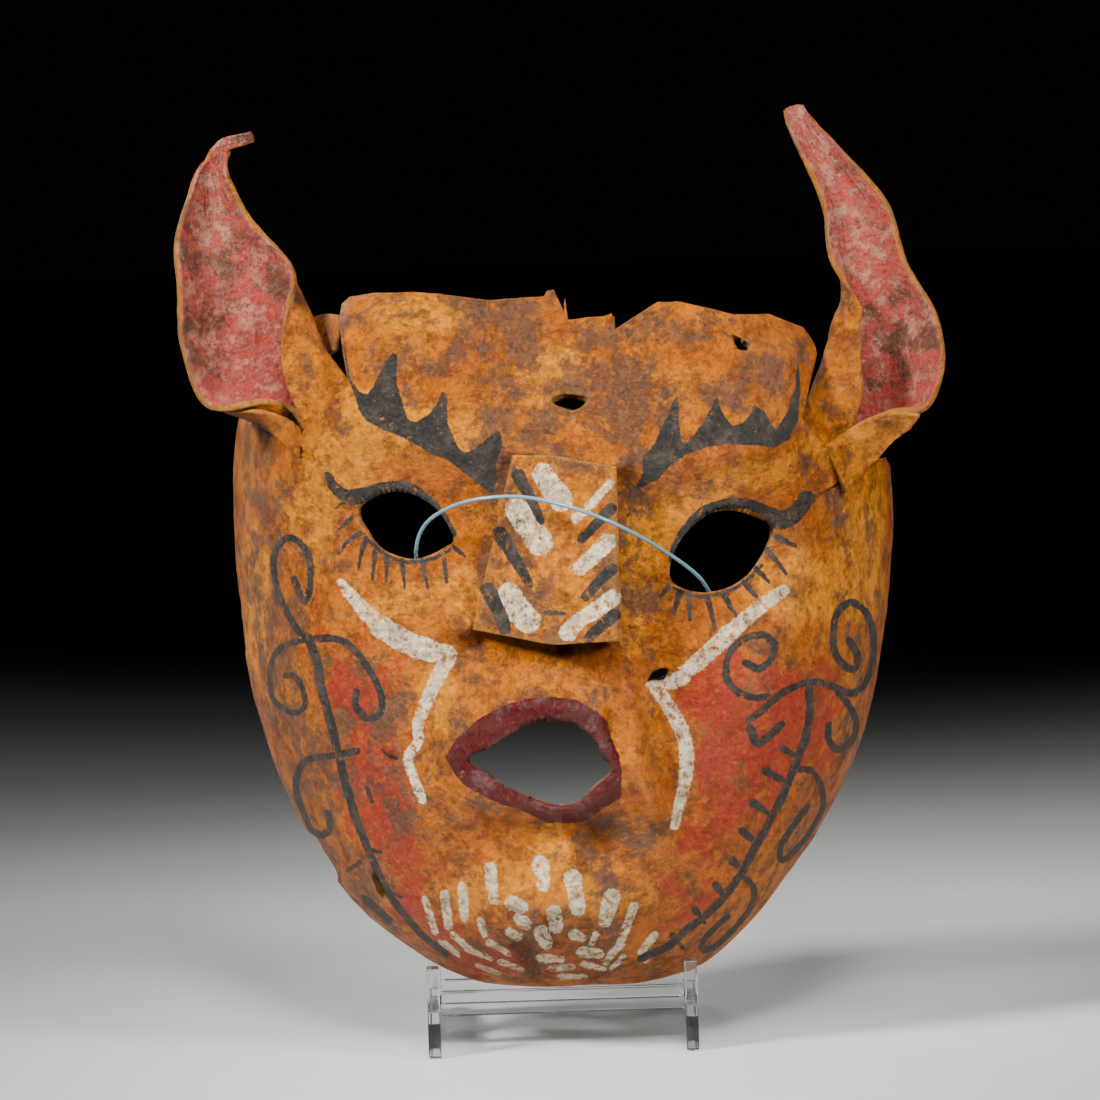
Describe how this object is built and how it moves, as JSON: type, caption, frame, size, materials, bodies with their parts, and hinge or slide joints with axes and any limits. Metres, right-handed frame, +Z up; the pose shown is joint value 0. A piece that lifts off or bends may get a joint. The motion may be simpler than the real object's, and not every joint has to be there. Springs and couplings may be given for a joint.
{
  "type": "cat dance mask",
  "caption": "Painted leather cat dance mask with leaf-shaped ears and a folded nose, standing on a clear acrylic stand.",
  "frame": {"origin": "middle of the bounding box in plan, on the floor under the stand", "axes": "+Z up, the face looks to -Y, +X to the right as the viewer sees it"},
  "size_m": [0.2414, 0.1456, 0.2964],
  "materials": {
    "painted_hide": "satin",
    "ear_hide": "matte",
    "nose_hide": "satin",
    "clear_line": "gloss",
    "clear_acrylic": "gloss"
  },
  "bodies": {
    "root": {"mask_shell": "painted_hide", "ear_left": "ear_hide", "ear_right": "ear_hide", "nose_piece": "nose_hide", "hanging_line": "clear_line", "line_knot": "clear_line", "stand_left": "clear_acrylic", "stand_right": "clear_acrylic", "stand_rest": "clear_acrylic", "stand_tie": "clear_acrylic"}
  },
  "joints": []
}
